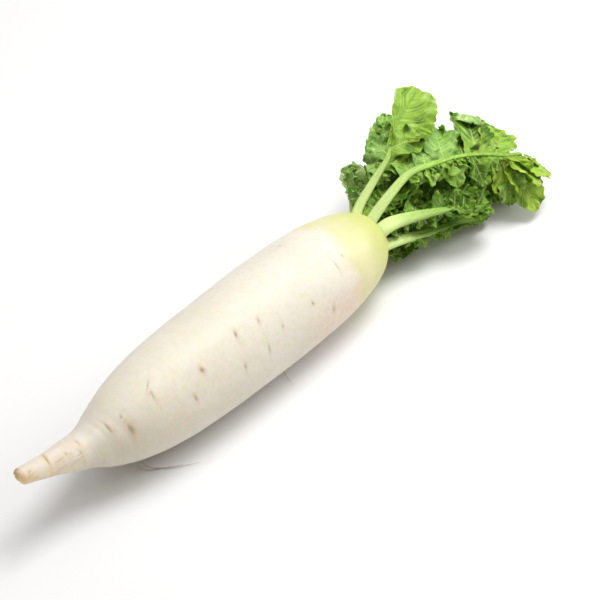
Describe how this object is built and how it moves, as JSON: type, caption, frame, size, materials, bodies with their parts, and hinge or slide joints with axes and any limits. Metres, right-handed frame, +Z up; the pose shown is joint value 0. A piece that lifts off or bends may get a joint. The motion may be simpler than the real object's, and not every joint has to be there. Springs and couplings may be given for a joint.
{
  "type": "daikon radish",
  "caption": "Whole daikon radish lying on its side, with a long white tapering root, a bent tail, a green crown and a tuft of lobed leaves.",
  "frame": {"origin": "on the flat resting spot under the root's widest part, at the height of the surface it lies on", "axes": "+X along the root from the tail to the leaves, +Z up out of the surface, +Y to the left of +X"},
  "size_m": [0.527, 0.1215, 0.1049],
  "materials": {
    "root": "smooth fresh root skin, satin, cream white, yellow green at the crown",
    "leaf": "fresh leaf, satin, mid green blades with pale green stalks"
  },
  "bodies": {
    "root": {"taproot": "root", "leaf_tall": "leaf", "leaf_arched": "leaf", "leaf_broad": "leaf", "leaf_low": "leaf", "leaf_floor": "leaf", "leaf_left": "leaf", "leaf_back": "leaf", "leaf_inner": "leaf", "leaf_under": "leaf", "leaf_middle": "leaf"}
  },
  "joints": []
}
